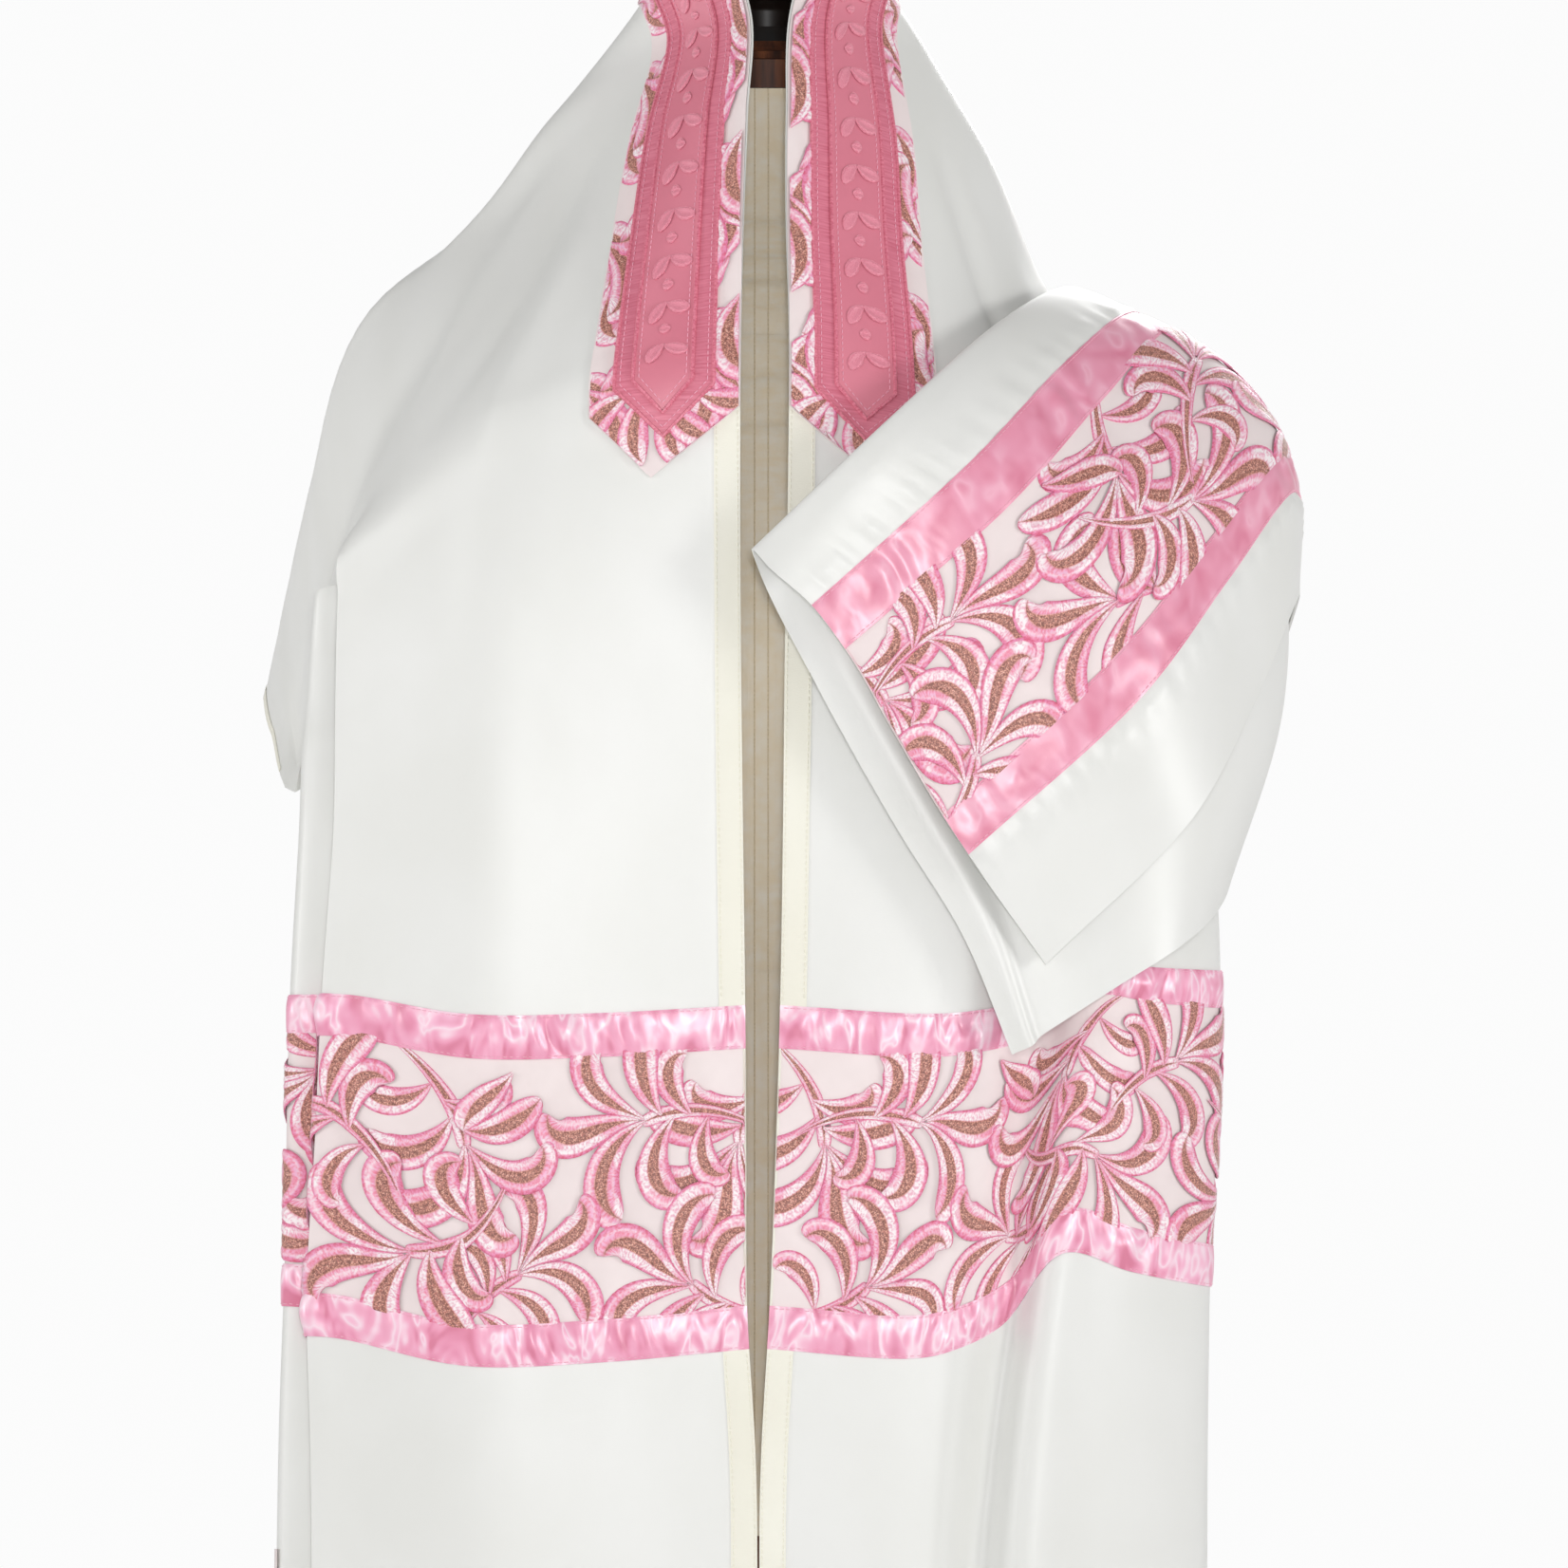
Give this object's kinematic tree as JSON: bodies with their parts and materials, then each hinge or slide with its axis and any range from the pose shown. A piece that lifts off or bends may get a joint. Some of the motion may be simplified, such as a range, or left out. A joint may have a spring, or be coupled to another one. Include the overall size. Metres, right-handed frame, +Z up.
{
  "type": "tallit prayer shawl on a dress form",
  "caption": "Rectangular satin prayer shawl with a neckband, lace bands, ribbons and corner tassels, draped on a limbless dress form, with a folded stretch over one shoulder.",
  "frame": {"origin": "middle of the base's underside", "axes": "+Z up, the front of the shawl faces -Y, +X to the viewer's right"},
  "size_m": [0.5066, 0.3179, 1.5395],
  "materials": {
    "ivory_satin": "satin weave",
    "cream_binding": "stitched binding",
    "pink_satin": "satin ribbon",
    "rose_satin": "satin",
    "lace": "embroidered organza",
    "fringe": "plied cord",
    "form_linen": "plain linen cover",
    "dark_wood": "dark varnish"
  },
  "bodies": {
    "root": {"middle_cloth": "ivory_satin", "end_cloth_left": "ivory_satin", "end_cloth_right": "ivory_satin", "shoulder_under_leaf": "ivory_satin", "shoulder_free_leaf": "ivory_satin", "lace_band_left": "lace", "lace_band_right": "lace", "patch_inner_left": "lace", "patch_inner_right": "lace", "patch_outer_left": "lace", "patch_outer_right": "lace", "neckband_lace": "lace", "shoulder_lace": "lace", "ribbon_upper_left": "pink_satin", "ribbon_upper_right": "pink_satin", "ribbon_lower_left": "pink_satin", "ribbon_lower_right": "pink_satin", "shoulder_ribbon_upper": "pink_satin", "shoulder_ribbon_lower": "pink_satin", "neckband_border": "rose_satin", "neckband_field": "rose_satin", "binding_upper_left": "cream_binding", "binding_upper_right": "cream_binding", "binding_lower_left": "cream_binding", "binding_lower_right": "cream_binding", "outer_hem_binding": "cream_binding", "tassel_inner_left": "fringe", "tassel_inner_right": "fringe", "tassel_outer_left": "fringe", "tassel_outer_right": "fringe", "form_torso": "form_linen", "form_neck_cap": "dark_wood", "form_knob": "dark_wood", "form_pole": "dark_wood", "form_base": "dark_wood"}
  },
  "joints": []
}
